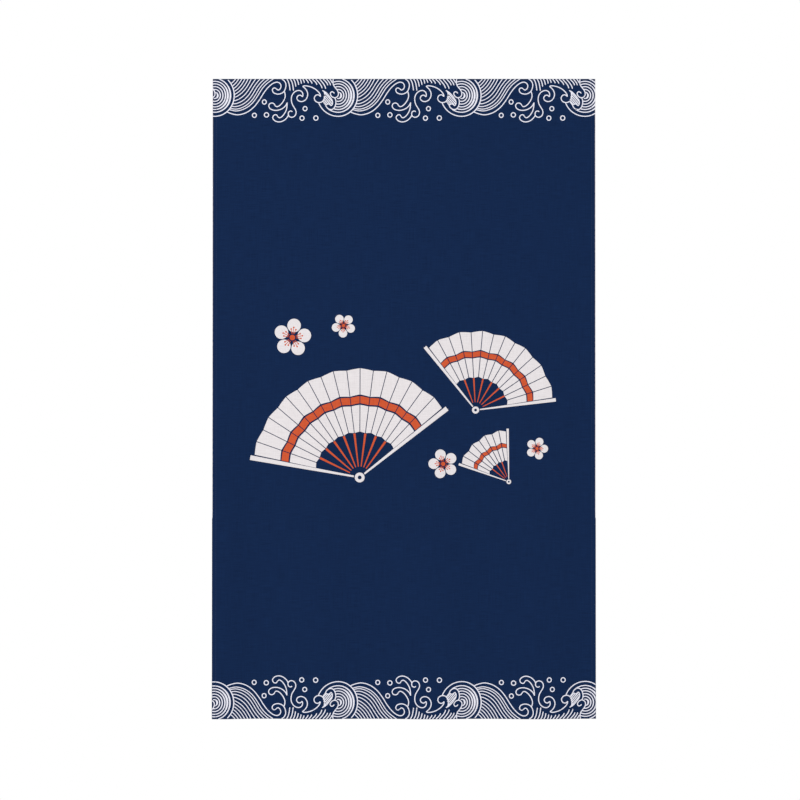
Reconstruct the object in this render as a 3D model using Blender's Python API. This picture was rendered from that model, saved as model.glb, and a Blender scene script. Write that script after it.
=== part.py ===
"""A noren curtain: one cloth panel that hangs flat from its top edge, its four hems turned to the back.

Metres, +Z up. The origin is the middle of the top edge, the cloth hangs down from it, and the
printed front faces -Y. The side hems are narrow, the bottom hem is deeper and the top hem, the
heading that clips or a rail take hold of, is the deepest and stays flat. Below the heading the
cloth hangs in a few shallow vertical folds that grow towards the bottom hem.
"""

import bpy
import numpy as np

# Finished size, 3 by 5 as in the photograph. The hung cloth is a hair narrower at the heading.
WIDTH_BOTTOM = 0.9000
WIDTH_TOP = 0.8975
HEIGHT = 1.5000

# The cloth's thickness, and that of a turned hem with the cloth it lies on.
CLOTH = 0.0010
HEMMED = 0.0022

# How far each hem reaches in from its edge, and the short shoulder where it steps down.
HEADING = 0.050
BOTTOM_HEM = 0.025
SIDE_HEM = 0.012
SHOULDER = 0.0015

# The mesh: columns of faces between the side hems, and rows between the heading and the bottom hem.
COLUMNS = 44
ROWS = 30

# The shallow folds, left to right: where each meets the bottom hem, how far it leans to the right
# on its way down, its half-width, its depth (+ is towards the back), and how far down it starts.
FOLD_COLUMNS = ("at_hem", "lean", "half_width", "depth", "starts")
FOLDS = (
    (-0.435, -0.010, 0.075, -0.0078, 0.10),
    (-0.330, +0.012, 0.095, +0.0092, 0.05),
    (-0.205, +0.006, 0.085, -0.0060, 0.22),
    (-0.080, -0.014, 0.110, +0.0078, 0.12),
    (+0.060, +0.008, 0.100, -0.0090, 0.06),
    (+0.190, +0.016, 0.090, +0.0066, 0.28),
    (+0.305, -0.010, 0.095, -0.0074, 0.10),
    (+0.425, +0.006, 0.080, +0.0084, 0.16),
)

# The cloth's navy ground, linear, and its dry woven finish.
NAVY = (0.0080, 0.0222, 0.0704, 1.0)
CLOTH_ROUGHNESS = 0.85


def clear_scene():
    """Removes whatever the scene starts with."""
    for thing in list(bpy.data.objects):
        bpy.data.objects.remove(thing)


def smooth_step(share):
    """0 up to share 0, 1 from share 1, and the cubic 3s2 - 2s3 between them."""
    share = np.clip(share, 0.0, 1.0)
    return share * share * (3.0 - 2.0 * share)


def hang(across, down):
    """How far back the cloth hangs at a place, as the sum of the folds.

    A fold is a raised cosine across its width. It leans as it comes down, and its depth grows
    by a smooth step from where it starts, below the flat heading, to its full depth at the hem.
    """
    drop = (down - HEADING - SHOULDER) / (HEIGHT - HEADING - SHOULDER)
    total = np.zeros(np.broadcast(across, down).shape)
    for row in FOLDS:
        fold = dict(zip(FOLD_COLUMNS, row))
        centre = fold["at_hem"] - fold["lean"] * (1.0 - drop)
        off_centre = np.clip(np.abs(across - centre) / fold["half_width"], 0.0, 1.0)
        grown = smooth_step((drop - fold["starts"]) / (1.0 - fold["starts"]))
        total += fold["depth"] * grown * (0.5 + 0.5 * np.cos(np.pi * off_centre))
    return total


def column_places():
    """Places across the cloth: each side hem's edge and shoulder, and even columns between them."""
    edge = WIDTH_BOTTOM / 2
    inner = edge - SIDE_HEM - SHOULDER
    between = np.linspace(-inner, inner, COLUMNS + 1)
    outside = np.array([edge - SIDE_HEM, edge])
    return np.concatenate([-outside[::-1], between, outside])


def row_places():
    """Places down the cloth: the heading, its shoulder, even rows, and the bottom hem."""
    first = HEADING + SHOULDER
    last = HEIGHT - BOTTOM_HEM - SHOULDER
    return np.concatenate([[0.0, HEADING], np.linspace(first, last, ROWS + 1), [HEIGHT - BOTTOM_HEM, HEIGHT]])


def cloth_mesh(across, down):
    """The front face of the cloth as a grid of quads that face -Y, one vertex for each pair of places."""
    s, t = np.meshgrid(across, down)
    x = s * (WIDTH_TOP + (WIDTH_BOTTOM - WIDTH_TOP) * t / HEIGHT) / WIDTH_BOTTOM
    y = hang(s, t) - HEMMED / 2
    points = np.stack([x, y, -t], axis=-1).reshape(-1, 3)
    index = np.arange(len(points)).reshape(s.shape)
    quads = np.stack([index[1:, :-1], index[1:, 1:], index[:-1, 1:], index[:-1, :-1]], axis=-1).reshape(-1, 4)
    mesh = bpy.data.meshes.new("noren_panel")
    mesh.from_pydata(points.tolist(), [], quads.tolist())
    mesh.update()
    return mesh, s.reshape(-1), t.reshape(-1)


def add_hem_group(panel, s, t):
    """Marks the vertices that lie in a hem, where the cloth is built to the hemmed thickness."""
    in_side = np.abs(s) > WIDTH_BOTTOM / 2 - SIDE_HEM - SHOULDER / 2
    in_heading = t < HEADING + SHOULDER / 2
    in_bottom = t > HEIGHT - BOTTOM_HEM - SHOULDER / 2
    group = panel.vertex_groups.new(name="hems")
    group.add(np.flatnonzero(in_side | in_heading | in_bottom).tolist(), 1.0, "REPLACE")
    return group


def thicken(panel, group):
    """Gives the sheet its thickness towards the back: the hemmed one in the hems, the cloth's elsewhere."""
    solidify = panel.modifiers.new("cloth", "SOLIDIFY")
    solidify.thickness = HEMMED
    solidify.offset = -1.0
    solidify.vertex_group = group.name
    solidify.thickness_vertex_group = CLOTH / HEMMED
    solidify.use_rim = True


def cloth_material():
    """Plain-woven cloth with a navy ground."""
    material = bpy.data.materials.new("navy_cloth")
    material.use_nodes = True
    shader = material.node_tree.nodes["Principled BSDF"]
    shader.inputs["Base Color"].default_value = NAVY
    shader.inputs["Roughness"].default_value = CLOTH_ROUGHNESS
    shader.inputs["Metallic"].default_value = 0.0
    return material


def make_panel():
    """The whole curtain: one sheet with its hems."""
    mesh, s, t = cloth_mesh(column_places(), row_places())
    panel = bpy.data.objects.new("noren_panel", mesh)
    bpy.context.scene.collection.objects.link(panel)
    mesh.materials.append(cloth_material())
    mesh.shade_smooth()
    thicken(panel, add_hem_group(panel, s, t))
    return panel


def main():
    clear_scene()
    make_panel()


main()
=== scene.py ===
"""The looks of a printed noren: a door curtain of plain-woven cloth that hangs from its top edge.

The cloth is one thin sheet whose four hems are really turned. It is printed on its front with a
navy ground, a border of curling waves at the top and the bottom, and open fans and plum blossom in
the middle. The hems are left unprinted and are sewn with navy thread, and the print shows paler on
the reverse.

Places on the curtain are (s, t): s across from its middle, t down from its top edge, both in metres
as seen from the front. A place's depth behind the cloth's middle plane is its off.
"""

import bpy
import numpy as np
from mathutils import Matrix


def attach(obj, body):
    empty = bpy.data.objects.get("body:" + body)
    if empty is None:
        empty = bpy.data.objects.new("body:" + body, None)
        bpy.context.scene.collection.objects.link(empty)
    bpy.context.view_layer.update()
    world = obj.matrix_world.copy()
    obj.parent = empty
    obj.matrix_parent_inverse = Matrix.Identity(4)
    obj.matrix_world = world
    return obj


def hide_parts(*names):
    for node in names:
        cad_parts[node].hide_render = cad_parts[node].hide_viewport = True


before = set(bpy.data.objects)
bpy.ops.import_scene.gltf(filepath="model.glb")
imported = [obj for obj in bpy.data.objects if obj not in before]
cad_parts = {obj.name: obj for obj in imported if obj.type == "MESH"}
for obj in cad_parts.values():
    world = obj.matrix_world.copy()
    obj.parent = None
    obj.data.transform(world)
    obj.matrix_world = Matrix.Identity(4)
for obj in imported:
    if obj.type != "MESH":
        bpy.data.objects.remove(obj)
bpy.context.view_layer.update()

MM = 0.001

# Finished size, hems and folds, the same as the solid's. FRONT is where the front face lies in Y.
WIDTH_BOTTOM = 0.9000
WIDTH_TOP = 0.8975
HEIGHT = 1.5000
HEADING = 0.050
BOTTOM_HEM = 0.025
SIDE_HEM = 0.012
SHOULDER = 0.0015
FRONT = -0.0011

FOLD_COLUMNS = ("at_hem", "lean", "half_width", "depth", "starts")
FOLDS = (
    (-0.435, -0.010, 0.075, -0.0078, 0.10),
    (-0.330, +0.012, 0.095, +0.0092, 0.05),
    (-0.205, +0.006, 0.085, -0.0060, 0.22),
    (-0.080, -0.014, 0.110, +0.0078, 0.12),
    (+0.060, +0.008, 0.100, -0.0090, 0.06),
    (+0.190, +0.016, 0.090, +0.0066, 0.28),
    (+0.305, -0.010, 0.095, -0.0074, 0.10),
    (+0.425, +0.006, 0.080, +0.0084, 0.16),
)

# The real cloth: its thickness, how far apart two layers of a hem lie, and the raw edge turned in.
CLOTH = 0.35 * MM
LAYER = 0.45 * MM
TURNED_IN = 10.0 * MM

# How far apart the sheet's columns and rows are, and how many steps its turned edges take. The folds
# run down, so the columns are the closer: a chord there leaves the curve by less than 0.05 mm.
COLUMN_STEP = 5.5 * MM
ROW_STEP = 12.0 * MM
EDGE_STEPS = 8
INNER_STEPS = 6
TURNED_STEPS = 3
FLAP_STEP = 6.0 * MM

# The columns near a side hem, where a top or bottom hem's layers climb over it, in millimetres in
# from the side hem's inner edge. The even columns lie between the first of them on either side.
CLIMB_COLUMNS = (9.5, 7.6, 5.9, 4.3, 2.6, 0.9, -1.0, -5.0, -9.0)
# How far in from a side hem that climb starts, and how long it is.
CLIMB_STARTS = 9.0 * MM
CLIMB = 8.5 * MM

# The print lies this far off the cloth, the orange a little farther, and is this thick. Marks that
# cross lie a step apart, at this many heights by turns.
PRINT_LIFT = 0.075 * MM
ORANGE_LIFT = 0.03 * MM
PRINT_FILM = 0.04 * MM
PRINT_STEP = 0.004 * MM
PRINT_HEIGHTS = 6


def smooth_step(share):
    """0 up to share 0, 1 from share 1, and the cubic 3s2 - 2s3 between them."""
    share = np.clip(share, 0.0, 1.0)
    return share * share * (3.0 - 2.0 * share)


def hang(s, t):
    """How far back the cloth hangs at a place, as the sum of the folds.

    A fold is a raised cosine across its width. It leans as it comes down, and its depth grows
    by a smooth step from where it starts, below the flat heading, to its full depth at the hem.
    """
    drop = (t - HEADING - SHOULDER) / (HEIGHT - HEADING - SHOULDER)
    total = np.zeros(np.broadcast(s, t).shape)
    for row in FOLDS:
        fold = dict(zip(FOLD_COLUMNS, row))
        centre = fold["at_hem"] - fold["lean"] * (1.0 - drop)
        off_centre = np.clip(np.abs(s - centre) / fold["half_width"], 0.0, 1.0)
        grown = smooth_step((drop - fold["starts"]) / (1.0 - fold["starts"]))
        total += fold["depth"] * grown * (0.5 + 0.5 * np.cos(np.pi * off_centre))
    return total


def hung(s, t, off):
    """Where a place on the curtain is, off metres behind the middle plane of its front layer.

    The middle plane is x = s times the width there, y = the folds' depth, z = -t. The off is laid
    along its normal, (-dy/ds, 1, dy/dt) made one long, with the slopes taken over a millimetre.
    """
    s, t, off = np.broadcast_arrays(s, t, off)
    slope_s = (hang(s + MM / 2, t) - hang(s - MM / 2, t)) / MM
    slope_t = (hang(s, t + MM / 2) - hang(s, t - MM / 2)) / MM
    normal = np.stack([-slope_s, np.ones_like(slope_s), slope_t], axis=-1)
    normal /= np.linalg.norm(normal, axis=-1, keepdims=True)
    x = s * (WIDTH_TOP + (WIDTH_BOTTOM - WIDTH_TOP) * t / HEIGHT) / WIDTH_BOTTOM
    middle = np.stack([x, FRONT + CLOTH / 2 + hang(s, t), -t], axis=-1)
    return middle + off[..., None] * normal


# Colours and materials.

def linear(hex_colour):
    """An sRGB hex colour as linear red, green, blue and alpha."""
    srgb = np.array([int(hex_colour[i:i + 2], 16) for i in (1, 3, 5)]) / 255.0
    values = np.where(srgb <= 0.04045, srgb / 12.92, ((srgb + 0.055) / 1.055) ** 2.4)
    return (*values.tolist(), 1.0)


def add(tree, kind, settings=(), **inputs):
    """Adds a node. settings are its properties. Each input, named with _ for a space or by number
    as i0, i1, is a value, the socket that feeds it, or the node whose first enabled output does."""
    made = tree.nodes.new(kind)
    for key, value in dict(settings).items():
        setattr(made, key, value)
    for key, value in inputs.items():
        socket = made.inputs[int(key[1:]) if key[1:].isdigit() else key.replace("_", " ")]
        if isinstance(value, bpy.types.Node):
            value = next(output for output in value.outputs if output.enabled)
        if isinstance(value, bpy.types.NodeSocket):
            tree.links.new(value, socket)
        else:
            socket.default_value = value
    return made


# Thread spacing. The real cloth has a thread about every 0.5 mm, which no picture of the whole
# curtain could show, so it is drawn at 1.1 mm. Slubs, the thick stretches of a thread, are real size.
# The warp's are longer and fainter than the weft's, with this share in the two together.
THREAD = 1.1 * MM
WEFT_SLUB = 34.0 * MM
WARP_SLUB = WEFT_SLUB / 0.6
SLUB_WIDTH = 1.5 * MM
WARP_SHARE = 0.35

# How the weave colours the cloth: the share of the full colour that a thread's crown gives, which is
# painted light on the crowns and painted shade in the hollows between them, the share that a slub
# gives, the yarn's own paler tone, and the noise at which a thread is at its thinnest and its thickest.
CROWN_PAINTED_LIGHT = 0.35
SLUB_COLOUR = 0.6
THIN_THICK = (0.36, 0.64)

# The weave's relief: how high a crown stands, the share of that on a thread of no slub, how much a
# full slub adds, and the strength of the whole.
CROWN_HEIGHT = 0.12 * MM
PLAIN_CROWN = 0.55
SLUB_CROWN = 0.9
RELIEF = 0.55

# Spun cotton and polyester with no glaze: it looks dry and matte, with almost no gloss and only a
# breath of sheen from its loose fibres.
CLOTH_ROUGHNESS = 0.88
CLOTH_GLOSS = 0.06
CLOTH_SHEEN = 0.03
SHEEN_ROUGHNESS = 0.6

# Each colour as it is in the weave's hollows, darker there as painted shade, on the crowns of its thick
# threads, lighter there as painted light on the crowns and by the slubs' own tone, and in its sheen.
# The navy and the orange are flat dyes, paler on the reverse. The pale ones are bare cloth, a little
# warm on the hems and in the motif and a little cool in the border's fine lines, as they look between navy.
NAVY = ("#0B1D3C", "#132B52", "#8FA3D0")
NAVY_REVERSE = ("#26365A", "#3F5078", "#8FA3D0")
BARE = ("#D7D1D3", "#EEE9EB", "#FFFFFF")
BORDER_LINE = ("#DDDDEA", "#F6F6FF", "#FFFFFF")
ORANGE = ("#BC4727", "#D8623C", "#FFC8A8")
ORANGE_REVERSE = ("#B8674C", "#D08766", "#FFD8C8")


def woven(tree):
    """A plain weave on the thread map: returns (crown, slub), each 0 to 1.

    Each square of a checker shows one thread, warp or weft by turns, with the round crown
    |sin(pi x / spacing)| across it. Slub is noise drawn out along the weft, mixed with a weaker
    one along the warp.
    """
    thread_map = add(tree, "ShaderNodeUVMap", {"uv_map": "thread_map"})
    phase = add(tree, "ShaderNodeVectorMath", {"operation": "SCALE"}, Vector=thread_map, Scale=np.pi / THREAD)
    wave = add(tree, "ShaderNodeVectorMath", {"operation": "SINE"}, Vector=phase)
    crowns = add(tree, "ShaderNodeVectorMath", {"operation": "ABSOLUTE"}, Vector=wave)
    across = add(tree, "ShaderNodeSeparateXYZ", Vector=crowns)
    turns = add(tree, "ShaderNodeTexChecker", Vector=thread_map, Scale=1.0 / THREAD)
    crown = add(tree, "ShaderNodeMix", {"data_type": "FLOAT"},
                Factor=turns.outputs["Fac"], A=across.outputs["X"], B=across.outputs["Y"])
    along_weft = add(tree, "ShaderNodeMapping", Vector=thread_map,
                     Scale=(1.0 / WEFT_SLUB, 1.0 / SLUB_WIDTH, 1.0))
    along_warp = add(tree, "ShaderNodeMapping", Vector=thread_map,
                     Scale=(1.0 / SLUB_WIDTH, 1.0 / WARP_SLUB, 1.0))
    weft_slub = add(tree, "ShaderNodeTexNoise", Vector=along_weft, Scale=1.0, Detail=3.0, Roughness=0.6)
    warp_slub = add(tree, "ShaderNodeTexNoise", Vector=along_warp, Scale=1.0, Detail=2.0, Roughness=0.5)
    slub = add(tree, "ShaderNodeMix", {"data_type": "FLOAT"}, Factor=WARP_SHARE, A=weft_slub, B=warp_slub)
    return crown, slub


def slub_tone_and_painted_shade(tree, crown, slub, colours):
    """A cloth colour between its deep one, a painted shade in the weave's hollows, and its full one, painted
    light on the crowns of thick threads together with the slubs' own tone.
    """
    deep, full = linear(colours[0]), linear(colours[1])
    thick = add(tree, "ShaderNodeMapRange", Value=slub,
                From_Min=THIN_THICK[0], From_Max=THIN_THICK[1], To_Max=SLUB_COLOUR)
    # Painted shade: the crown's share darkens the hollows between threads as their shade would and lightens
    # the crowns; the slub's share is the yarn's own tone.
    painted_light_and_slub = add(tree, "ShaderNodeMath", {"operation": "MULTIPLY_ADD"}, i0=crown, i1=CROWN_PAINTED_LIGHT, i2=thick)
    return add(tree, "ShaderNodeMix", {"data_type": "RGBA"}, Factor=painted_light_and_slub, A=deep, B=full)


def finish_cloth(material, colour, crown, slub, colours):
    """Sets the cloth's shader: its colour, and a bump whose height is the threads' crown by their slub."""
    tree = material.node_tree
    shader = tree.nodes["Principled BSDF"]
    tree.links.new(colour.outputs["Result"], shader.inputs["Base Color"])
    thick = add(tree, "ShaderNodeMath", {"operation": "MULTIPLY_ADD"}, i0=slub, i1=SLUB_CROWN, i2=PLAIN_CROWN)
    height = add(tree, "ShaderNodeMath", {"operation": "MULTIPLY"}, i0=crown, i1=thick)
    bump = add(tree, "ShaderNodeBump", Strength=RELIEF, Distance=CROWN_HEIGHT, Height=height)
    tree.links.new(bump.outputs[0], shader.inputs["Normal"])
    shader.inputs["Roughness"].default_value = CLOTH_ROUGHNESS
    shader.inputs["Metallic"].default_value = 0.0
    shader.inputs["Specular IOR Level"].default_value = CLOTH_GLOSS
    shader.inputs["Sheen Weight"].default_value = CLOTH_SHEEN
    shader.inputs["Sheen Roughness"].default_value = SHEEN_ROUGHNESS
    shader.inputs["Sheen Tint"].default_value = linear(colours[2])
    return material


def new_material(name):
    """A new material with its plain shader, and its node tree."""
    material = bpy.data.materials.new(name)
    material.use_nodes = True
    return material, material.node_tree


# The print ends at the side folds. Down to EDGE_SHOWS it falls a hair short, so that a thin pale
# line of bare cloth shows along each side. Below, it reaches round the fold, and it changes from one
# to the other over EDGE_TURNS to either side. At the top and the bottom it ends PAST_FOLD round.
SHORT_EDGE = WIDTH_BOTTOM / 2 - 1.0 * MM
FULL_EDGE = WIDTH_BOTTOM / 2 + 0.6 * MM
EDGE_SHOWS = 1.03
EDGE_TURNS = 3.0 * MM
PAST_FOLD = 0.4 * MM

# The print's rim is this soft. At the sides it starts this far in, and wanders by as much as RAGGED
# every eight millimetres or so.
RIM = 0.4 * MM
RIM_INSET = 0.2 * MM
RAGGED = 0.8 * MM
RAGGED_LENGTH = 25.0 / 3.0 * MM


def inside_print(tree):
    """1 inside the printed rectangle of the thread map and 0 on the bare hems, ragged at the sides."""
    thread_map = add(tree, "ShaderNodeUVMap", {"uv_map": "thread_map"})
    place = add(tree, "ShaderNodeSeparateXYZ", Vector=thread_map)
    across, down = place.outputs["X"], place.outputs["Y"]
    ragged = add(tree, "ShaderNodeTexNoise", Vector=thread_map, Scale=1.0 / RAGGED_LENGTH, Detail=2.0)
    edge = add(tree, "ShaderNodeMapRange", Value=down, From_Min=EDGE_SHOWS - EDGE_TURNS,
               From_Max=EDGE_SHOWS + EDGE_TURNS, To_Min=SHORT_EDGE, To_Max=FULL_EDGE)
    from_middle = add(tree, "ShaderNodeMath", {"operation": "ABSOLUTE"}, i0=across)
    to_edge = add(tree, "ShaderNodeMath", {"operation": "SUBTRACT"}, i0=edge, i1=from_middle)
    uneven = add(tree, "ShaderNodeMath", {"operation": "MULTIPLY_ADD"}, i0=ragged, i1=RAGGED, i2=to_edge)
    beside = add(tree, "ShaderNodeMapRange", Value=uneven, From_Min=RIM_INSET, From_Max=RIM_INSET + RIM)
    below_top = add(tree, "ShaderNodeMapRange", Value=down, From_Min=-PAST_FOLD - RIM, From_Max=-PAST_FOLD)
    above_end = add(tree, "ShaderNodeMapRange", Value=down,
                    From_Min=HEIGHT + PAST_FOLD + RIM, From_Max=HEIGHT + PAST_FOLD)
    within = add(tree, "ShaderNodeMath", {"operation": "MINIMUM"}, i0=below_top, i1=above_end)
    return add(tree, "ShaderNodeMath", {"operation": "MINIMUM"}, i0=beside, i1=within)


def printed_cloth(name, colours):
    """Plain-woven cloth, navy where it is printed and its own off-white on the hems: dry and matte."""
    material, tree = new_material(name)
    crown, slub = woven(tree)
    ground = slub_tone_and_painted_shade(tree, crown, slub, colours)
    bare = slub_tone_and_painted_shade(tree, crown, slub, BARE)
    colour = add(tree, "ShaderNodeMix", {"data_type": "RGBA"}, Factor=inside_print(tree), A=bare, B=ground)
    return finish_cloth(material, colour, crown, slub, colours)


def print_on_cloth(name, colours):
    """A colour of the print, or the bare cloth that shows as its pale lines: the same weave runs on."""
    material, tree = new_material(name)
    crown, slub = woven(tree)
    colour = slub_tone_and_painted_shade(tree, crown, slub, colours)
    return finish_cloth(material, colour, crown, slub, colours)


# The sewing thread: how far apart its twist turns, how it slants in radians, its colour between two
# turns, darker there as painted shade in the groove, and on them, and its low sheen, more than the
# cloth's because polyester is smooth. At scale 1 a wave texture's bands lie BAND_PERIOD apart.
TWIST = 0.5 * MM
TWIST_SLANT = 0.7
SEWING_GROOVE_SHADE = "#121F40"
SEWING_FULL = "#24365F"
SEWING_ROUGHNESS = 0.6
SEWING_GLOSS = 0.35
BAND_PERIOD = 0.314


def sewing_thread():
    """Navy spun polyester sewing thread: a low sheen, and a fine slanting twist whose grooves carry a painted
    shade.
    """
    material, tree = new_material("navy_spun_thread")
    place = add(tree, "ShaderNodeTexCoord").outputs["Object"]
    slant = add(tree, "ShaderNodeMapping", Vector=place, Rotation=(0.0, TWIST_SLANT, 0.0))
    twist = add(tree, "ShaderNodeTexWave", {"wave_type": "BANDS"}, Vector=slant, Scale=BAND_PERIOD / TWIST)
    # Painted shade: the twist's bands are darker between the turns, where the grooves would lie in shade.
    mixed = add(tree, "ShaderNodeMix", {"data_type": "RGBA"}, Factor=twist.outputs["Fac"],
                A=linear(SEWING_GROOVE_SHADE), B=linear(SEWING_FULL))
    shader = tree.nodes["Principled BSDF"]
    tree.links.new(mixed.outputs["Result"], shader.inputs["Base Color"])
    shader.inputs["Roughness"].default_value = SEWING_ROUGHNESS
    shader.inputs["Specular IOR Level"].default_value = SEWING_GLOSS
    return material


# The cloth.

def hem_stack(s):
    """How far back a top or bottom hem's two turned layers lie: (outer, inner), in metres.

    In the middle the front is one layer, so they lie two and one layers back. At the side hems the
    front is already three layers, so they lie eight and three back, by a smooth step between.
    """
    climbed = smooth_step((np.abs(s) - (WIDTH_BOTTOM / 2 - SIDE_HEM - CLIMB_STARTS)) / CLIMB)
    return LAYER * (2.0 + 6.0 * climbed), LAYER * (1.0 + 2.0 * climbed)


def turned_hem(depth, outer, inner, off):
    """A double-turned hem's section for a layer that lies off behind the front: (z, off) at each step.

    z is the distance in from the finished edge. The layer goes half a circle round to the back,
    z = c - (c - off) sin a, off = c - (c - off) cos a with c = outer / 2, lies flat to the hem's
    depth, turns half a circle of radius (outer - inner) / 2 - off to the inside, and lies flat again.
    """
    outer, inner, off = np.broadcast_arrays(outer, inner, off)
    edge = outer / 2
    lip = (outer - inner) / 2
    angle = np.linspace(0.0, np.pi, EDGE_STEPS + 1)[:, None]
    round_edge = (edge - (edge - off) * np.sin(angle), edge - (edge - off) * np.cos(angle))
    flap = np.linspace(0.0, 1.0, max(2, int(depth / FLAP_STEP)) + 1)[1:, None]
    back = (edge + flap * (depth - lip - edge), (outer - off) + 0.0 * flap)
    angle = np.linspace(0.0, np.pi, INNER_STEPS + 1)[1:, None]
    round_lip = (depth - lip + (lip - off) * np.sin(angle), (outer + inner) / 2 + (lip - off) * np.cos(angle))
    share = np.linspace(0.0, 1.0, TURNED_STEPS + 1)[1:, None]
    turned = (depth - lip - share * TURNED_IN, (inner + off) + 0.0 * share)
    sections = (round_edge, back, round_lip, turned)
    return tuple(np.concatenate([part[k] for part in sections]) for k in (0, 1))


def flat_distance(z, off):
    """How far out along the cloth each step of a hem lies, from the finished edge's fold line."""
    steps = np.hypot(np.diff(z), np.diff(off))
    return -z[0] + np.concatenate([[0.0], np.cumsum(steps)])


def cloth_columns():
    """Across the sheet, from one raw edge to the other: place s, depth off, and thread map u."""
    z, off = turned_hem(SIDE_HEM, 2 * LAYER, LAYER, np.zeros(1))
    z, off = z[:, 0], off[:, 0]
    edge = WIDTH_BOTTOM / 2
    climb = edge - SIDE_HEM - np.array(CLIMB_COLUMNS) * MM
    middle = np.linspace(-climb[0], climb[0], int(round(2 * climb[0] / COLUMN_STEP)) + 1)
    front = np.concatenate([-climb[:0:-1], middle, climb[1:]])
    outside = flat_distance(z, off) + edge
    s = np.concatenate([-(edge - z)[::-1], front, edge - z])
    depth = np.concatenate([off[::-1], 0.0 * front, off])
    u = np.concatenate([-outside[::-1], front, outside])
    return s, depth, u


def cloth_rows(s, depth):
    """Down the sheet: place t and depth off for every row and column, and thread map v for every row."""
    outer, inner = hem_stack(s)
    top, top_off = turned_hem(HEADING, outer, inner, depth)
    end, end_off = turned_hem(BOTTOM_HEM, outer, inner, depth)
    down = np.linspace(ROW_STEP / 2, HEIGHT - ROW_STEP / 2, int(round(HEIGHT / ROW_STEP)) + 1)
    front = down[:, None] + 0.0 * s
    t = np.concatenate([top[::-1], front, HEIGHT - end])
    off = np.concatenate([top_off[::-1], depth + 0.0 * front, end_off])
    middle = s.size // 2
    v = np.concatenate([-flat_distance(top[:, middle], top_off[:, middle])[::-1], down,
                        HEIGHT + flat_distance(end[:, middle], end_off[:, middle])])
    return t, off, v


def mesh_object(name, points, faces, thread_map, materials):
    """A mesh object at the origin from its points and lists of corners, smooth, with its thread map as
    a UV map."""
    mesh = bpy.data.meshes.new(name)
    mesh.from_pydata(points.tolist(), [], [corners for same in faces for corners in same.tolist()])
    mesh.update()
    layer = mesh.uv_layers.new(name="thread_map")
    corners = np.zeros(len(mesh.loops), np.int32)
    mesh.loops.foreach_get("vertex_index", corners)
    layer.data.foreach_set("uv", thread_map[corners].astype(np.float32).ravel())
    for material in materials:
        mesh.materials.append(material)
    mesh.shade_smooth()
    made = bpy.data.objects.new(name, mesh)
    bpy.context.scene.collection.objects.link(made)
    return made


def sharpen_rim(mesh):
    """Marks the open edges of a sheet sharp, so that its thin rim doesn't shade into its face."""
    edge_of_corner = np.zeros(len(mesh.loops), np.int32)
    mesh.loops.foreach_get("edge_index", edge_of_corner)
    faces_on_edge = np.bincount(edge_of_corner, minlength=len(mesh.edges))
    sharp = mesh.attributes.new("sharp_edge", "BOOLEAN", "EDGE")
    sharp.data.foreach_set("value", faces_on_edge == 1)


def grid_faces(rows, columns):
    """The quads of a grid, each (lower left, lower right, upper right, upper left) as rows go down."""
    index = np.arange(rows * columns).reshape(rows, columns)
    corners = (index[1:, :-1], index[1:, 1:], index[:-1, 1:], index[:-1, :-1])
    return np.stack(corners, axis=-1).reshape(-1, 4)


def make_cloth():
    """The whole curtain as one sheet, hems turned, with its printed face outside and its reverse inside."""
    s, depth, u = cloth_columns()
    t, off, v = cloth_rows(s, depth)
    s_grid = np.broadcast_to(s, t.shape)
    points = hung(s_grid, t, off).reshape(-1, 3)
    thread_map = np.stack(np.broadcast_arrays(u[None, :], v[:, None]), axis=-1).reshape(-1, 2)
    cloth = mesh_object("noren_cloth", points, [grid_faces(*t.shape)], thread_map, [
        printed_cloth("printed_plain_weave", NAVY),
        printed_cloth("plain_weave_reverse", NAVY_REVERSE),
    ])
    thickness = cloth.modifiers.new("thickness", "SOLIDIFY")
    thickness.thickness = CLOTH
    thickness.offset = 0.0
    thickness.use_rim = True
    thickness.material_offset = 1
    return cloth, (u[-1] - u[0], v[-1] - v[0])


# The marks of the print, worked out flat in millimetres.

# How far apart a line's points are, and at how many places a curve is worked out first: a smooth
# line for each of its points, a line between two others, and a sweep.
STEP = 1.3
SMOOTH_PLACES = 60
BETWEEN_PLACES = 120
SWEEP_PLACES = 80


def even(line):
    """The same line with its points about a step apart along it."""
    along = np.concatenate([[0.0], np.cumsum(np.hypot(*np.diff(line, axis=0).T))])
    places = np.linspace(0.0, along[-1], max(3, int(round(along[-1] / STEP)) + 1))
    return np.stack([np.interp(places, along, line[:, k]) for k in (0, 1)], axis=-1)


def smooth_line(points):
    """A smooth line through given points.

    Each span is a cubic Hermite curve. The knots are spaced by the square root of the chord, and
    the slope at a point is the mean of the slopes on its two sides, each weighted by the other's span.
    """
    p = np.asarray(points, float)
    span = np.sqrt(np.hypot(*np.diff(p, axis=0).T))
    knot = np.concatenate([[0.0], np.cumsum(span)])
    slope = np.diff(p, axis=0) / span[:, None]
    weight = (span[:-1] / (span[:-1] + span[1:]))[:, None]
    inside = slope[1:] * weight + slope[:-1] * (1.0 - weight)
    first = 1.5 * slope[0] - 0.5 * inside[0]
    last = 1.5 * slope[-1] - 0.5 * inside[-1]
    tangent = np.vstack([first, inside, last])
    fine = np.linspace(0.0, knot[-1], SMOOTH_PLACES * len(p))
    k = np.clip(np.searchsorted(knot, fine, side="right") - 1, 0, len(p) - 2)
    f = ((fine - knot[k]) / span[k])[:, None]
    c = span[k][:, None]
    start = (2 * f**3 - 3 * f**2 + 1) * p[k] + (f**3 - 2 * f**2 + f) * c * tangent[k]
    end = (3 * f**2 - 2 * f**3) * p[k + 1] + (f**3 - f**2) * c * tangent[k + 1]
    return even(start + end)


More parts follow.
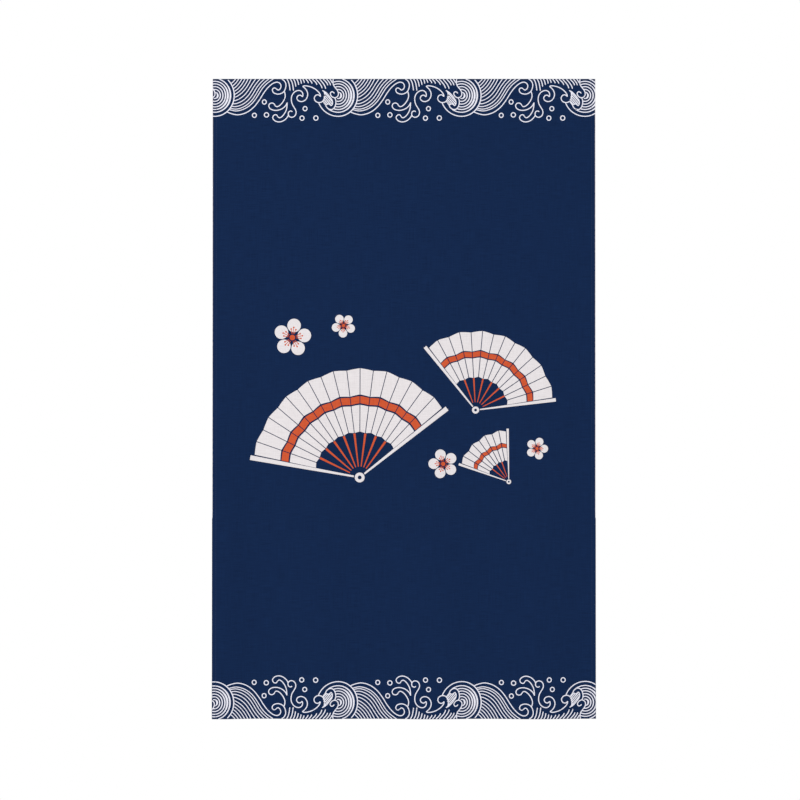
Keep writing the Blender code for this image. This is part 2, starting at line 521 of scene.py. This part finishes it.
def arc(centre, radius, start, end):
    """A round arc from one angle to another, in degrees anticlockwise from the right."""
    angle = np.radians(np.linspace(start, end, max(6, int(abs(np.radians(end - start)) * radius / STEP) + 1)))
    return np.stack([centre[0] + radius * np.cos(angle), centre[1] + radius * np.sin(angle)], axis=-1)


def between(upper, lower, share, crowding):
    """A line a share of the way from one line to another, point for point at equal parts of their
    length. Where they start, the share is raised to the power crowding, nearer the upper line."""
    parts = np.linspace(0.0, 1.0, BETWEEN_PLACES)
    high, low = (
        np.stack([np.interp(parts, np.linspace(0.0, 1.0, len(line)), line[:, k]) for k in (0, 1)], axis=-1)
        for line in (upper, lower)
    )
    eased = (share ** np.linspace(crowding, 1.0, parts.size))[:, None]
    return even((1.0 - eased) * high + eased * low)


def sweep(start, start_way, end, end_way, reach):
    """A line that leaves start one way and comes to end another, in degrees, as a Bezier cubic whose
    two handles are reach times the distance long."""
    start, end = np.asarray(start, float), np.asarray(end, float)
    pull = reach * np.hypot(*(end - start))
    a = start + pull * np.array([np.cos(np.radians(start_way)), np.sin(np.radians(start_way))])
    b = end - pull * np.array([np.cos(np.radians(end_way)), np.sin(np.radians(end_way))])
    f = np.linspace(0.0, 1.0, SWEEP_PLACES)[:, None]
    return even((1 - f)**3 * start + 3 * (1 - f)**2 * f * a + 3 * (1 - f) * f**2 * b + f**3 * end)


# One repeat of the wave border, charted in millimetres: u to the right from the middle of the round
# wave, h up from the curtain's edge. The lines are about as wide as a fine brush's, and the fine ones
# that run down the swell a little thinner. The border's repeats are counted from the first whole one,
# from left of the curtain to right of it.
REPEAT = 290.0
REPEATS = range(-1, 5)
FIRST_WAVE = -444.0
LINE = 2.25
FINE = 0.9
WAVE_MIDDLE = (-0.5, 38.5)
OUTER_RING = 49.0

# The round wave's rings: radius, where each starts and ends in degrees, and how much it swells. To
# the right of the middle they are drawn in to this share of their radius. They swell the most this
# way, in radians anticlockwise from the right. The fine lines start this far outside them.
RINGS_DRAWN_IN = 0.93
SWELLS_AT = 0.2
RING_GAP = 0.8
RINGS = (
    (OUTER_RING, 161.0, -48.0, 0.4),
    (39.5, 126.0, -75.0, 1.6),
    (33.0, 108.0, -110.0, 2.2),
    (27.0, 106.0, -114.0, 0.8),
    (20.5, 105.0, -113.0, 0.4),
    (14.0, 112.0, -104.0, 0.4),
    (7.5, 112.0, -80.0, 2.0),
)

WAVE_LINES = {
    # The swell that runs off the round wave, its trough, and the curl that the trough ends in.
    "swell": ((28.5, 77.5), (41, 82), (54, 84), (73, 79), (90, 67), (104, 49.5), (114, 33.5), (125, 19.5),
              (136, 10.5), (145.5, 7.5), (152, 10), (155, 16), (153.3, 22.5), (148.5, 26), (144, 23)),
    "swell_curl": ((144, 23), (140, 21), (136, 22.5), (134.8, 27), (138, 32.5), (147.5, 35.5), (156.5, 33.5),
                   (162.5, 28.5), (166, 20), (166.5, 12), (162.8, 4.5), (156.5, 0)),
    # Two fingers of thrown foam.
    "upper_finger": ((173, 84), (168, 91.8), (159.5, 98.4), (149.5, 100.7), (140, 97.5), (135.5, 91),
                     (138.5, 85), (144, 84), (147, 88)),
    "upper_finger_under": ((147, 88), (151.5, 91), (157, 88.3), (163.5, 80.5), (167.8, 71), (169.6, 55)),
    "lower_finger": ((169.5, 55.5), (165.5, 63), (157, 70), (145.5, 73.5), (135, 72.5), (128.5, 68.5),
                     (126.3, 62.7), (128.8, 57.8), (134, 56.3), (138.8, 58.5), (141, 62.5)),
    "lower_finger_under": ((141, 62.5), (145.5, 65), (152.5, 61.6), (160, 53), (164.4, 43.5), (164.8, 37),
                           (162.6, 29)),
    # The bud beside them, the basins below it and the two curls that rise out of the basins.
    "bud": ((182, 77), (177.8, 75), (173.3, 77.3), (172, 82.5), (173.8, 87), (178.3, 89.6), (183.2, 89.3),
            (188, 86), (190.5, 79.5), (189.6, 73.5), (186, 67), (181.4, 59), (179.3, 49.5), (180.2, 40.5),
            (184.5, 32.8), (191.5, 28), (199, 27.2), (204.8, 31.2), (206.5, 37), (205.5, 42)),
    "first_curl": ((205.5, 42), (200.5, 38), (195, 39.5), (192.3, 45), (195.3, 50.5), (203, 53),
                   (211.2, 50), (216.3, 43), (217.7, 35), (214.8, 26.3), (205.8, 17.2)),
    "basin": ((205.8, 17.2), (211.5, 16), (218.5, 16.8), (228, 19.7), (237, 25), (243.5, 31), (247.2, 37),
              (248, 41.5)),
    "second_curl": ((248, 41.5), (242.5, 37.2), (236.5, 38.7), (233.2, 44.8), (235.5, 51.3), (242.5, 55.2),
                    (250.5, 54), (256.3, 47.5), (258, 39), (256.5, 30)),
    # The two hooks that lap the next round wave, and the leaf of foam that runs into the higher one.
    "high_hook": ((-36.5, 52), (-33, 57), (-30, 61), (-28.5, 65), (-25, 69), (-19.5, 71.5), (-14, 71),
                  (-10, 67.5), (-7.3, 62), (-6, 55.5), (-6.5, 49), (-9, 44)),
    "foam_leaf": ((-38, 27), (-30.5, 31), (-23.5, 38), (-18.5, 44.5), (-14.5, 51), (-14, 58), (-17, 62.5),
                  (-20.5, 59.5), (-25, 58.5), (-28, 61)),
    "low_hook": ((-9.5, 34), (-12, 31), (-16, 30), (-19, 33.5), (-18, 38), (-14.5, 42), (-9, 44),
                 (-4, 42.5), (-0.5, 38), (-0.5, 31.5), (-3, 26), (-7.5, 20.5), (-11.5, 14.5), (-13, 7.5),
                 (-12, 0)),
}

# Drops of spray: u, h, radius, and how much longer than wide each is.
DROPS = (
    (92.5, 85.2, 4.7, 1.06), (120.9, 84.2, 5.1, 1.00), (115.8, 53.9, 4.7, 1.08),
    (204.4, 91.8, 4.8, 1.06), (237.0, 91.5, 5.0, 1.04), (211.5, 69.6, 4.7, 1.06),
)

# The white foam in the leaf, in slanting marks. For each: how far it lies to the left of the way it
# slants, and how far along that way it starts and ends.
FOAM = ((45.3, -0.5, 31.0), (49.1, 6.5, 35.0), (52.9, 9.5, 34.5), (56.7, 12.5, 29.5), (60.3, 15.0, 28.0))
FOAM_WAY = 50.0
FOAM_WIDTH = 2.3

# The fine lines that run down the swell: the topmost one, one halfway and the lowest, each drawn
# from inside the round wave, then how many steps there are from each of these to the next and how
# much they crowd to the upper one.
TOP_LINE = ((28, 70), (38, 73), (49, 75), (61, 73), (73, 68), (83, 61), (92.5, 51), (101.5, 37.5),
            (111, 22.5), (120, 12.5), (128, 6), (137, 0))
HALFWAY_LINE = ((38, 45.5), (49, 42), (60, 35), (70, 25), (78.5, 12.5), (85, 0))
LOW_LINE = ((26, 10), (34, 5.5), (41, 0))
FINE_LINES = ((TOP_LINE, HALFWAY_LINE, 5, 1.3), (HALFWAY_LINE, LOW_LINE, 6, 1.0))

# The short strokes of water along the edge: foot, how far each leans to the right, and height. Each
# leaves its foot one way and ends another, in degrees, and its handles are this share of its chord.
STROKE_LEAVES = 50.0
STROKE_ENDS = 80.0
STROKE_REACH = 0.35
STROKES = (
    (168.5, 8.0, 27.0), (176.5, 8.0, 27.5), (184.0, 6.0, 18.0), (191.5, 5.0, 14.0), (199.5, 3.5, 11.0),
    (206.0, 4.0, 9.0), (213.0, 6.5, 10.0), (220.5, 7.5, 11.0), (228.5, 11.0, 14.0), (236.5, 15.0, 22.0),
    (245.5, 14.5, 23.0), (254.0, 11.0, 15.0), (262.0, 9.5, 15.0), (269.5, 5.5, 9.0),
)


def wave_repeat():
    """One repeat of the border as (line, width at each point), in millimetres."""
    marks = []
    for radius, starts, ends, swells in RINGS:
        ring = arc((0.0, 0.0), radius, starts, ends)
        way = np.arctan2(ring[:, 1], ring[:, 0])
        ring[:, 0] *= np.where(ring[:, 0] > 0.0, RINGS_DRAWN_IN, 1.0)
        marks.append((ring + WAVE_MIDDLE, LINE + swells * np.clip(np.cos(way - SWELLS_AT), 0.0, 1.0) ** 3))
    for points in WAVE_LINES.values():
        marks.append((smooth_line(points), LINE))
    for upper, lower, steps, crowding in FINE_LINES:
        for k in range(steps):
            line = between(smooth_line(upper), smooth_line(lower), k / steps, crowding)
            outside = np.hypot(*((line - WAVE_MIDDLE) / (RINGS_DRAWN_IN, 1.0)).T) > OUTER_RING + RING_GAP
            marks.append((line[outside], FINE * LINE))
    for u, h, radius, stretch in DROPS:
        marks.append((arc((0.0, 0.0), radius, 0.0, 360.0) * (1.0, stretch) + (u, h), LINE))
    along, left = (np.array([np.cos(way), np.sin(way)]) for way in np.radians((FOAM_WAY, FOAM_WAY + 90.0)))
    for beside, starts, ends in FOAM:
        line = np.array([beside * left + starts * along, beside * left + ends * along])
        marks.append((even(line), FOAM_WIDTH))
    for foot, lean, height in STROKES:
        line = sweep((foot, 0.0), STROKE_LEAVES, (foot + lean, height), STROKE_ENDS, STROKE_REACH)
        marks.append((line, LINE))
    return marks


# The places, in millimetres from a mark's ends, that give it its round tips, and the least that the
# square of its half-width is drawn in to. A line whose ends are nearer than CLOSED is a loop.
TIP_PLACES = (0.0, 0.12, 0.4, 0.8)
TIP_LEAST = 0.004
CLOSED = 0.01


def ribbon(line, width):
    """A mark's two edges, half its width to either side of its line, closed to a round tip at each end.

    Near an end the half-width w is drawn in as w times the square root of 1 - (1 - d / w)2, where d
    is the distance to the end.
    """
    along = np.concatenate([[0.0], np.cumsum(np.hypot(*np.diff(line, axis=0).T))])
    half = np.broadcast_to(np.asarray(width, float) / 2, along.shape)
    tips = np.array(TIP_PLACES)
    closed = np.hypot(*(line[0] - line[-1])) < CLOSED
    places = along if closed else np.unique(np.concatenate([along, tips, along[-1] - tips]))
    middle = np.stack([np.interp(places, along, line[:, k]) for k in (0, 1)], axis=-1)
    half = np.interp(places, along, half)
    to_end = np.minimum(places, places[-1] - places)
    drawn_in = np.clip(1.0 - (1.0 - np.clip(to_end / half, 0.0, 1.0)) ** 2, TIP_LEAST, 1.0)
    round_tip = 1.0 if closed else np.sqrt(drawn_in)
    way = np.gradient(middle, places, axis=0)
    if closed:
        way[0] = way[-1] = (middle[1] - middle[-2])
    way /= np.linalg.norm(way, axis=-1, keepdims=True)
    side = np.stack([-way[:, 1], way[:, 0]], axis=-1) * (half * round_tip)[:, None]
    return np.stack([middle + side, middle, middle - side], axis=1)


# The middle motif: open fans and plum blossom.

def patch(rows, columns, where):
    """A grid of points where(a, b) for a and b from 0 to 1."""
    a, b = np.meshgrid(np.linspace(0.0, 1.0, rows + 1), np.linspace(0.0, 1.0, columns + 1), indexing="ij")
    return np.stack(where(a, b), axis=-1)


# Open fans: the pivot's s and t in millimetres, radius, spread and turn in degrees, and pleats.
FANS = (
    (-104.0, 934.0, 256.0, 128.0, -14.0, 18),
    (168.0, 776.0, 186.0, 118.0, 22.0, 14),
    (246.0, 944.0, 122.0, 66.0, -36.0, 8),
)
# The leaf's bands, as shares of the radius, and whether each is orange.
BANDS = ((0.42, 0.665, False), (0.68, 0.745, True), (0.76, 1.0, False))
PLEAT_GAP = 1.8
RIM_DROP = 4.0
# The ribs and the guards, as shares of the radius: where each starts and ends, and its width there.
RIB = (0.10, 0.405, 0.009, 0.020)
GUARD = (0.055, 1.02, 0.016, 0.044)
# How far outside the leaf's edge a guard's middle lies, in radians.
GUARD_APART = 0.030
# The ring at the pivot, as shares of the radius: its inner and its outer radius.
RIVET = (0.018, 0.045)

# Blossoms: s and t in millimetres, radius, and turn in degrees.
BLOSSOMS = (
    (-262.0, 606.0, 46.0, 8.0),
    (-142.0, 578.0, 29.0, 40.0),
    (312.0, 866.0, 27.0, 20.0),
    (92.0, 902.0, 36.0, 55.0),
)
# A blossom's parts, as shares of its radius: how far out a petal's middle lies, a petal's radius,
# where the stamens start, and the radii of the dots at their ends and of the eye.
PETALS = 5
PETAL_OUT = 0.62
PETAL = 0.345
STAMEN_ROOT = 0.2
DOT = 0.042
EYE = 0.14
# A petal's stamens: how each leans in degrees, and how far out it ends. They are this wide.
STAMENS = ((-16.0, 0.44), (0.0, 0.52), (16.0, 0.44))
STAMEN_WIDTH = 1.5

# How closely the motif is divided, so that the print follows the folds: a fan's quads are no longer
# than PATCH_STEP, a ring has RING_STEPS round it and a disc DISC_STEPS across.
PATCH_STEP = 6.0
RING_STEPS = 28
DISC_STEPS = 10


def fan_marks(s, t, radius, spread, turn, pleats):
    """An open folding fan as patches: (pale ones, orange ones).

    The leaf is a ring sector cut into pleats by narrow gaps, its rim going up and down from pleat to
    pleat. Ribs run from the pivot to every other pleat, and a broad guard closes it at each side.
    Angles are measured from straight up, and a place is (s + r sin a, t - r cos a).
    """
    pale, orange = [], []
    start = turn - spread / 2
    width = spread / pleats

    def place(r, a):
        return s + r * np.sin(a), t - r * np.cos(a)

    def bar(angle, inner, outer, root, end):
        """A bar out from the pivot, from one share of the radius to another, and its width at each."""
        def where(a, b):
            r = radius * (inner + (outer - inner) * a)
            wide = radius * (root + (end - root) * a)
            return place(r, np.radians(angle) + (b - 0.5) * wide / r)
        return patch(int(radius * (outer - inner) / PATCH_STEP) + 1, 2, where)

    for k in range(pleats):
        low, high = np.radians(start + k * width), np.radians(start + (k + 1) * width)
        left_rim, right_rim = (0.0, RIM_DROP) if k % 2 else (RIM_DROP, 0.0)
        for inner, outer, is_orange in BANDS:
            def where(a, b):
                rim = (left_rim + (right_rim - left_rim) * b) * outer
                r = radius * (inner + (outer - inner) * a) - rim
                gap = PLEAT_GAP / 2 / r
                return place(r, low + gap + (high - low - 2 * gap) * b)
            rows = int(radius * (outer - inner) / PATCH_STEP) + 1
            columns = int(radius * outer * (high - low) / PATCH_STEP) + 1
            (orange if is_orange else pale).append(patch(rows, columns, where))
    for k in range(2, pleats, 2):
        orange.append(bar(start + k * width, *RIB))
    for side in (-1, 1):
        angle = turn + side * (spread / 2 + np.degrees(GUARD_APART))
        pale.append(bar(angle, *GUARD))
    pale.append(ring_patch(s, t, RIVET[0] * radius, RIVET[1] * radius))
    return pale, orange


def ring_patch(s, t, inner, outer):
    """A flat ring round a place."""
    def where(a, b):
        r = inner + (outer - inner) * a
        return s + r * np.sin(2 * np.pi * b), t - r * np.cos(2 * np.pi * b)
    return patch(2, RING_STEPS, where)


def disc_patch(s, t, radius):
    """A flat disc: a square grid rounded by x = a sqrt(1 - b2 / 2), y = b sqrt(1 - a2 / 2)."""
    def where(a, b):
        a, b = 2 * a - 1, 2 * b - 1
        return s + radius * a * np.sqrt(1 - b * b / 2), t + radius * b * np.sqrt(1 - a * a / 2)
    return patch(DISC_STEPS, DISC_STEPS, where)


def blossom_marks(s, t, radius, turn):
    """A plum blossom as patches: five round pale petals, and orange stamens over an orange eye."""
    pale, orange = [], []
    out = PETAL_OUT * radius
    root = STAMEN_ROOT * radius
    for k in range(PETALS):
        angle = np.radians(turn + 360.0 / PETALS * k)
        pale.append(disc_patch(s + out * np.sin(angle), t - out * np.cos(angle), PETAL * radius))
        for lean, ends in STAMENS:
            stem = angle + np.radians(lean)
            reach = ends * radius

            def where(a, b):
                r = root + (reach - root) * a
                beside = (b - 0.5) * STAMEN_WIDTH
                return (s + r * np.sin(stem) + beside * np.cos(stem),
                        t - r * np.cos(stem) + beside * np.sin(stem))
            orange.append(patch(4, 1, where))
            orange.append(disc_patch(s + reach * np.sin(stem), t - reach * np.cos(stem), DOT * radius))
    orange.append(disc_patch(s, t, EYE * radius))
    return pale, orange


# From flat marks to print on the hung cloth.

# The cloth that shows on each side, in millimetres: its least and greatest s, then t. The front's
# ends just short of the turned edges, and the reverse's just short of the hems' flaps.
FRONT_WINDOW = (-449.4, 449.4, 0.35, 1499.65)
REVERSE_WINDOW = (-437.6, 437.6, 50.3, 1474.7)
# A quad has no area if it has less than this, in square millimetres.
LEAST_AREA = 1e-4


def print_object(name, grids, material, reverse=False, lift=0.0):
    """Marks laid on the cloth's face, or on its reverse, as one thin film.

    A grid's points are clamped to the window of cloth that shows, points of a mark that coincide to
    a micrometre become one, which closes its seam, and quads left with no area go. Each mark lies a
    step higher than the last, by turns, so that crossing marks don't meet.
    """
    window = REVERSE_WINDOW if reverse else FRONT_WINDOW
    places, quads, heights, count = [], [], [], 0
    for k, grid in enumerate(grids):
        s = np.clip(grid[..., 0], window[0], window[1])
        t = np.clip(grid[..., 1], window[2], window[3])
        rows, columns = s.shape
        places.append(np.stack([s, t], axis=-1).reshape(-1, 2))
        quads.append(grid_faces(rows, columns) + count)
        heights.append(np.full(s.size, PRINT_LIFT + lift + PRINT_STEP * (k % PRINT_HEIGHTS)))
        count += s.size
    marks = np.column_stack([np.concatenate(places), np.concatenate(heights) / MM])
    marks, merged = np.unique(np.round(marks, 3), axis=0, return_inverse=True)
    flat, height = marks[:, :2], marks[:, 2] * MM
    faces = merged.reshape(-1)[np.concatenate(quads)]
    corner = flat[faces]
    diagonals = (corner[:, 2] - corner[:, 0], corner[:, 3] - corner[:, 1])
    area = (diagonals[0][:, 0] * diagonals[1][:, 1] - diagonals[0][:, 1] * diagonals[1][:, 0]) / 2
    turned = area > 0 if not reverse else area < 0
    faces = np.where(turned[:, None], faces[:, ::-1], faces)[np.abs(area) > LEAST_AREA]
    used = np.unique(faces)
    renumber = np.zeros(len(flat), np.int64)
    renumber[used] = np.arange(len(used))
    flat, height, faces = flat[used] * MM, height[used], renumber[faces]
    side = 1.0 if reverse else -1.0
    points = hung(flat[:, 0], flat[:, 1], side * (CLOTH / 2 + height))
    made = mesh_object(name, points, [faces], flat, [material])
    sharpen_rim(made.data)
    film = made.modifiers.new("film", "SOLIDIFY")
    film.thickness = PRINT_FILM
    film.offset = -1.0
    film.use_rim = True
    return made


def border_grids(at_top):
    """Every mark of one border, as ribbons in curtain millimetres."""
    grids = []
    for k in REPEATS:
        for line, width in wave_repeat():
            edges = ribbon(line, width)
            s = FIRST_WAVE + k * REPEAT + edges[..., 0]
            if s.max() < FRONT_WINDOW[0] or s.min() > FRONT_WINDOW[1]:
                continue
            t = edges[..., 1] if at_top else HEIGHT / MM - edges[..., 1]
            grids.append(np.stack([s, t], axis=-1))
    return grids


def make_print():
    """The whole print: both borders and the middle motif on the face, and again, paler, on the reverse."""
    pale = print_on_cloth("bare_plain_weave", BARE)
    orange = print_on_cloth("orange_print", ORANGE)
    border = print_on_cloth("border_line_print", BORDER_LINE)
    orange_reverse = print_on_cloth("orange_print_reverse", ORANGE_REVERSE)
    pale_marks, orange_marks = [], []
    for marks, rows in ((fan_marks, FANS), (blossom_marks, BLOSSOMS)):
        for row in rows:
            more_pale, more_orange = marks(*row)
            pale_marks += more_pale
            orange_marks += more_orange
    top, bottom = border_grids(True), border_grids(False)
    pieces = []
    for side, reverse in (("", False), ("reverse_", True)):
        colour = orange_reverse if reverse else orange
        line = pale if reverse else border
        pieces += [
            (print_object(side + "wave_border_top", top, line, reverse), "pale_print"),
            (print_object(side + "wave_border_bottom", bottom, line, reverse), "pale_print"),
            (print_object(side + "motif_pale", pale_marks, pale, reverse), "pale_print"),
            (print_object(side + "motif_orange", orange_marks, colour, reverse, ORANGE_LIFT), "orange_print"),
        ]
    return pieces


# Sewing.

# The real stitches are some 2.5 mm long and 0.3 mm thick. They are drawn bolder so that they show,
# as bars of STITCH_SIDES sides with a ring of corners at each of STITCH_RINGS, in degrees, and their
# middles lie STITCH_LIFT off the cloth's face.
STITCH_PITCH = 4.5 * MM
STITCH_LENGTH = 3.5 * MM
STITCH_WIDTH = 0.8 * MM
STITCH_HEIGHT = 0.4 * MM
STITCH_LIFT = 0.03 * MM
STITCH_SIDES = 6
STITCH_RINGS = (-62.0, -24.0, 24.0, 62.0)

# How far a row lies from its hem's inner edge, and how far from the curtain's edges the rows start
# that run down and those that run across.
FROM_LIP = 3.0 * MM
FROM_TOP = 4.0 * MM
FROM_SIDE = 3.0 * MM


def stitch_places():
    """Each stitch's middle and way, as (s, t, ds, dt): a row along every hem, near its inner edge."""
    side = WIDTH_BOTTOM / 2 - SIDE_HEM + FROM_LIP
    down = np.arange(FROM_TOP, HEIGHT - FROM_TOP, STITCH_PITCH)
    along = np.arange(-WIDTH_BOTTOM / 2 + FROM_SIDE, WIDTH_BOTTOM / 2 - FROM_SIDE, STITCH_PITCH)
    rows = [(s + 0.0 * down, down, 0.0, 1.0) for s in (-side, side)]
    rows += [(along, t + 0.0 * along, 1.0, 0.0) for t in (HEADING - FROM_LIP, HEIGHT - BOTTOM_HEM + FROM_LIP)]
    return np.concatenate([np.stack(np.broadcast_arrays(*row), axis=-1) for row in rows])


def behind(s, t):
    """How far back the rearmost layer of cloth lies at a place."""
    outer = hem_stack(s)[0]
    in_hem = (t < HEADING) | (t > HEIGHT - BOTTOM_HEM)
    at_side = np.abs(s) > WIDTH_BOTTOM / 2 - SIDE_HEM
    return np.where(in_hem, outer, np.where(at_side, 2 * LAYER, 0.0))


def make_stitches(name, material, reverse):
    """Every stitch of the four hems on one side, as one mesh of small rounded bars.

    Along a bar a ring lies half its length times sin b from the middle. Its cross-section is an oval
    of half its width and height, drawn in by the square root of cos b, and a point closes each end.
    It lies nearly half sunk in the cloth.
    """
    places = stitch_places()
    b = np.radians(np.array(STITCH_RINGS))[:, None]
    a = np.radians(np.arange(0.0, 360.0, 360.0 / STITCH_SIDES))
    draw_in = np.sqrt(np.cos(b))
    tips = np.array([-1.0, 1.0])
    along = STITCH_LENGTH / 2 * np.concatenate([(np.sin(b) + 0.0 * a).ravel(), tips])
    across = STITCH_WIDTH / 2 * np.concatenate([(draw_in * np.cos(a)).ravel(), 0.0 * tips])
    up = STITCH_HEIGHT / 2 * np.concatenate([(draw_in * np.sin(a)).ravel(), 0.0 * tips])
    s = places[:, :1] + along * places[:, 2:3] - across * places[:, 3:4]
    t = places[:, 1:2] + along * places[:, 3:4] + across * places[:, 2:3]
    base = behind(places[:, :1], places[:, 1:2]) if reverse else 0.0
    side = 1.0 if reverse else -1.0
    points = hung(s, t, base + side * (CLOTH / 2 + STITCH_LIFT + up))
    rings = np.arange(b.size * a.size).reshape(b.size, a.size)
    ahead = np.roll(rings, -1, axis=1)
    sides = np.stack([rings[:-1], ahead[:-1], ahead[1:], rings[1:]], axis=-1).reshape(-1, 4)
    first = np.stack([ahead[0], rings[0], np.full(a.size, rings.size)], axis=-1)
    last = np.stack([rings[-1], ahead[-1], np.full(a.size, rings.size + 1)], axis=-1)
    start = np.arange(len(places))[:, None, None] * (rings.size + tips.size)
    faces = [(start + part).reshape(-1, part.shape[1]) for part in (sides, first, last)]
    flat = np.stack([s, t], axis=-1).reshape(-1, 2)
    return mesh_object(name, points.reshape(-1, 3), faces, flat, [material])


# What it is seen with.

# The photograph's width and the curtain's left and top edges in it, in pixels, and the size of one
# there. Then the camera's distance in metres and the width of its sensor in millimetres.
PHOTO_WIDTH = 800.0
LEFT_EDGE = 212.0
TOP_EDGE = 79.0
PIXEL = 2.344 * MM
LENS_DISTANCE = 9.0
SENSOR = 36.0


def set_camera():
    """A level long lens square to the curtain, which sees it where the photograph shows it."""
    data = bpy.data.cameras.new("front")
    camera = bpy.data.objects.new("front", data)
    bpy.context.scene.collection.objects.link(camera)
    middle = PHOTO_WIDTH / 2
    x = (middle - LEFT_EDGE) * PIXEL - WIDTH_BOTTOM / 2
    z = -(middle - TOP_EDGE) * PIXEL
    camera.location = (x, -LENS_DISTANCE, z)
    camera.rotation_euler = (np.pi / 2, 0.0, 0.0)
    data.sensor_width = SENSOR
    data.lens = SENSOR * LENS_DISTANCE / (PHOTO_WIDTH * PIXEL)
    bpy.context.scene.camera = camera


# The lamp: its side in metres, its watts, where it stands and how it is turned, in degrees.
LAMP_SIDE = 2.2
LAMP_POWER = 22.0
LAMP_PLACE = (-2.4, -2.6, 0.7)
LAMP_TURN = (62.0, 0.0, -43.0)

# A height at which the floor stays out of the front view.
FLOOR = -2.6
FLOOR_RADIUS = 8.0
FLOOR_COLOUR = "#EDEDEC"


def set_studio():
    """A white room's even light, one large soft lamp from the upper left, and a pale round floor."""
    world = bpy.data.worlds.new("studio")
    bpy.context.scene.world = world
    world.use_nodes = True
    world.node_tree.nodes["Background"].inputs["Color"].default_value = (1.0, 1.0, 1.0, 1.0)
    world.node_tree.nodes["Background"].inputs["Strength"].default_value = 1.0
    lamp = bpy.data.lights.new("soft_lamp", "AREA")
    lamp.shape = "SQUARE"
    lamp.size = LAMP_SIDE
    lamp.energy = LAMP_POWER
    holder = bpy.data.objects.new("soft_lamp", lamp)
    bpy.context.scene.collection.objects.link(holder)
    holder.location = LAMP_PLACE
    holder.rotation_euler = np.radians(LAMP_TURN)
    bpy.context.scene.view_settings.view_transform = "Standard"

    flat = disc_patch(0.0, 0.0, FLOOR_RADIUS).reshape(-1, 2)
    points = np.column_stack([flat, np.full(len(flat), FLOOR)])
    sides = int(np.sqrt(len(flat)))
    material, tree = new_material("pale_matt_floor")
    tree.nodes["Principled BSDF"].inputs["Base Color"].default_value = linear(FLOOR_COLOUR)
    tree.nodes["Principled BSDF"].inputs["Roughness"].default_value = 0.9
    mesh_object("floor", points, [grid_faces(sides, sides)], flat, [material])


def main():
    set_camera()
    set_studio()
    cloth, flat_size = make_cloth()
    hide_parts("noren_panel")
    pieces = make_print()
    thread = sewing_thread()
    pieces.append((make_stitches("front_stitches", thread, False), "sewing_thread"))
    pieces.append((make_stitches("back_stitches", thread, True), "sewing_thread"))
    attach(cloth, "root")
    for piece, slot in pieces:
        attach(piece, "root")


main()
